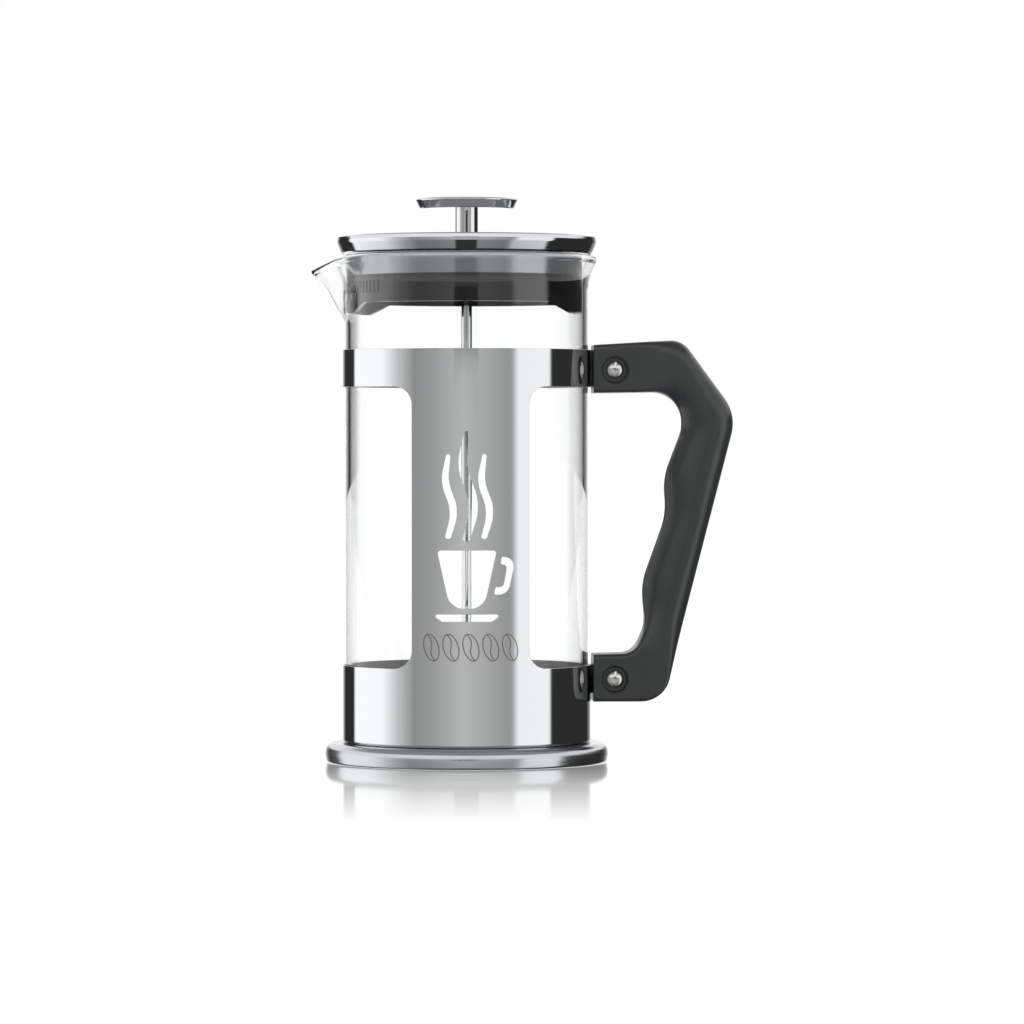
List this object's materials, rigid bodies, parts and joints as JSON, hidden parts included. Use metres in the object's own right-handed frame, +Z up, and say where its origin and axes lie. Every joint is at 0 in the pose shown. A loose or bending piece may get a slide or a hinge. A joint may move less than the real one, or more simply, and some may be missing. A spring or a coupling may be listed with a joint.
{
  "type": "french press",
  "caption": "Litre-size french press: glass beaker in a bright steel sleeve with side windows, black grooved handle, lifting and turning lid, and a plunger with a filter.",
  "frame": {"origin": "on the beaker's axis, in the plane of the table the press stands on", "axes": "+Z up along the beaker's axis, +X towards the handle, -X towards the spout, -Y towards the front panel"},
  "size_m": [0.167, 0.1116, 0.2222],
  "materials": {
    "polished_steel": "mirror-polished stainless steel",
    "plated_steel": "bright nickel-plated steel",
    "spring_steel": "bright drawn steel wire",
    "steel_gauze": "fine woven steel gauze",
    "black_plastic": "satin moulded plastic",
    "silicone": "matt translucent silicone",
    "glass": "clear fire-polished borosilicate glass"
  },
  "bodies": {
    "frame": {"base_ring": "polished_steel", "frame_shell": "polished_steel", "base_plate": "polished_steel", "base_pad": "silicone", "handle": "black_plastic", "upper_handle_screw": "plated_steel", "upper_handle_nut": "plated_steel", "upper_ear_spacer": "plated_steel", "lower_handle_screw": "plated_steel", "lower_handle_nut": "plated_steel", "lower_ear_spacer": "plated_steel"},
    "carafe": {"glass_beaker": "glass"},
    "lid_bush": {"rod_guide": "polished_steel", "rod_guide_washer": "plated_steel", "rod_guide_nut": "plated_steel"},
    "lid": {"lid_cover": "polished_steel", "lid_sleeve": "polished_steel", "lid_skirt": "black_plastic"},
    "plunger": {"plunger_rod": "polished_steel", "knob": "polished_steel", "knob_stem": "polished_steel", "hub_nut": "polished_steel", "cross_plate": "polished_steel", "filter_mesh": "steel_gauze", "edge_spring": "spring_steel", "spring_plate": "polished_steel", "rod_collar": "polished_steel"}
  },
  "joints": [
    {"name": "glass_lift", "type": "slide", "parent": "frame", "child": "carafe", "axis": [0, 0, 1], "range_m": [0, 0.165]},
    {"name": "lid_lift", "type": "slide", "parent": "carafe", "child": "lid_bush", "axis": [0, 0, 1], "range_m": [0, 0.195]},
    {"name": "lid_turn", "type": "hinge", "parent": "lid_bush", "child": "lid", "pos_m": [0, 0, 0.2], "axis": [0, 0, 1], "continuous": true},
    {"name": "plunger_slide", "type": "slide", "parent": "lid_bush", "child": "plunger", "axis": [0, 0, 1], "range_m": [0, 0.15]}
  ]
}
